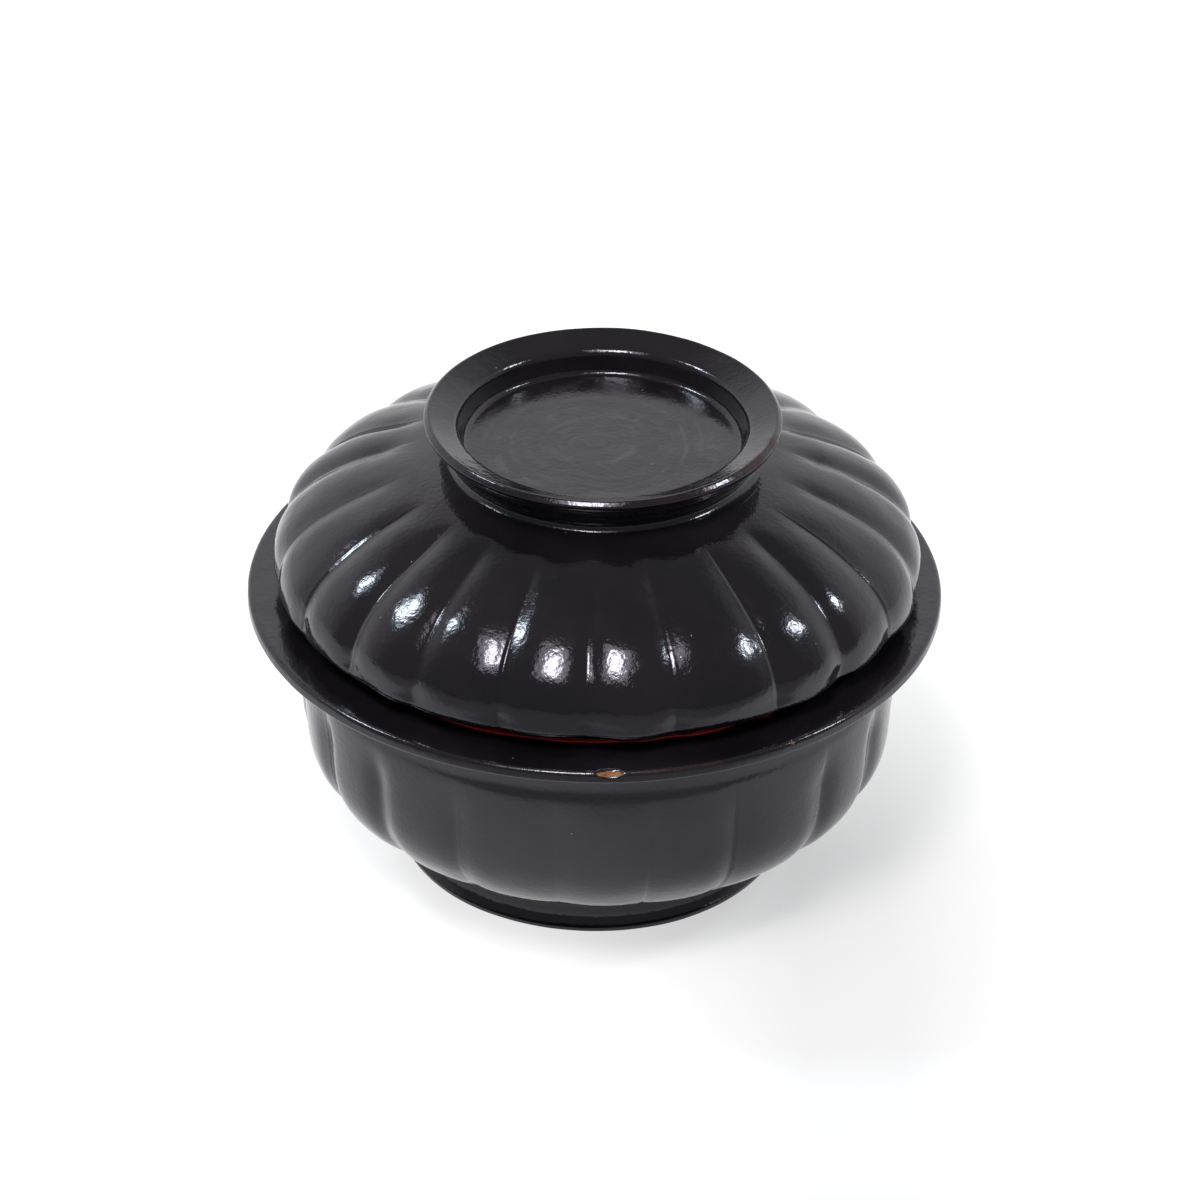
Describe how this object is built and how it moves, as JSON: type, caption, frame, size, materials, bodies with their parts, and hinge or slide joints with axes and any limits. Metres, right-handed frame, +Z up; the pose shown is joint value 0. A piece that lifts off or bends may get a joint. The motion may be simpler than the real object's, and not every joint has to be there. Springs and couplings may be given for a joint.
{
  "type": "lidded rice bowl",
  "caption": "Black lacquered wooden rice bowl with a lobed wall, flat rim and flared foot, and a lobed dome lid with a dished ring knob that lifts off; red lacquer inside.",
  "frame": {"origin": "middle of the foot's underside, on the table, below the middle of the bowl", "axes": "+Z up along the bowl's axis, the way the lid lifts; -Y is the front, which has the worn chip on the rim; +X to the right"},
  "size_m": [0.23, 0.23, 0.1603],
  "materials": {
    "black_lacquer": "glossy black lacquer over wood, slightly dimpled and worn",
    "red_lacquer": "satin cinnabar red lacquer over wood"
  },
  "bodies": {
    "bowl": {"foot_ring": "black_lacquer", "bowl_shell": "black_lacquer", "rim_flange": "black_lacquer", "bowl_lining": "red_lacquer"},
    "lid": {"lid_shell": "black_lacquer", "lid_lining": "red_lacquer", "lid_seat_ring": "red_lacquer", "lid_knob": "black_lacquer"}
  },
  "joints": [
    {"name": "lid_lift", "type": "slide", "parent": "bowl", "child": "lid", "axis": [0, 0, 1], "range_m": [0, 0.14]}
  ]
}
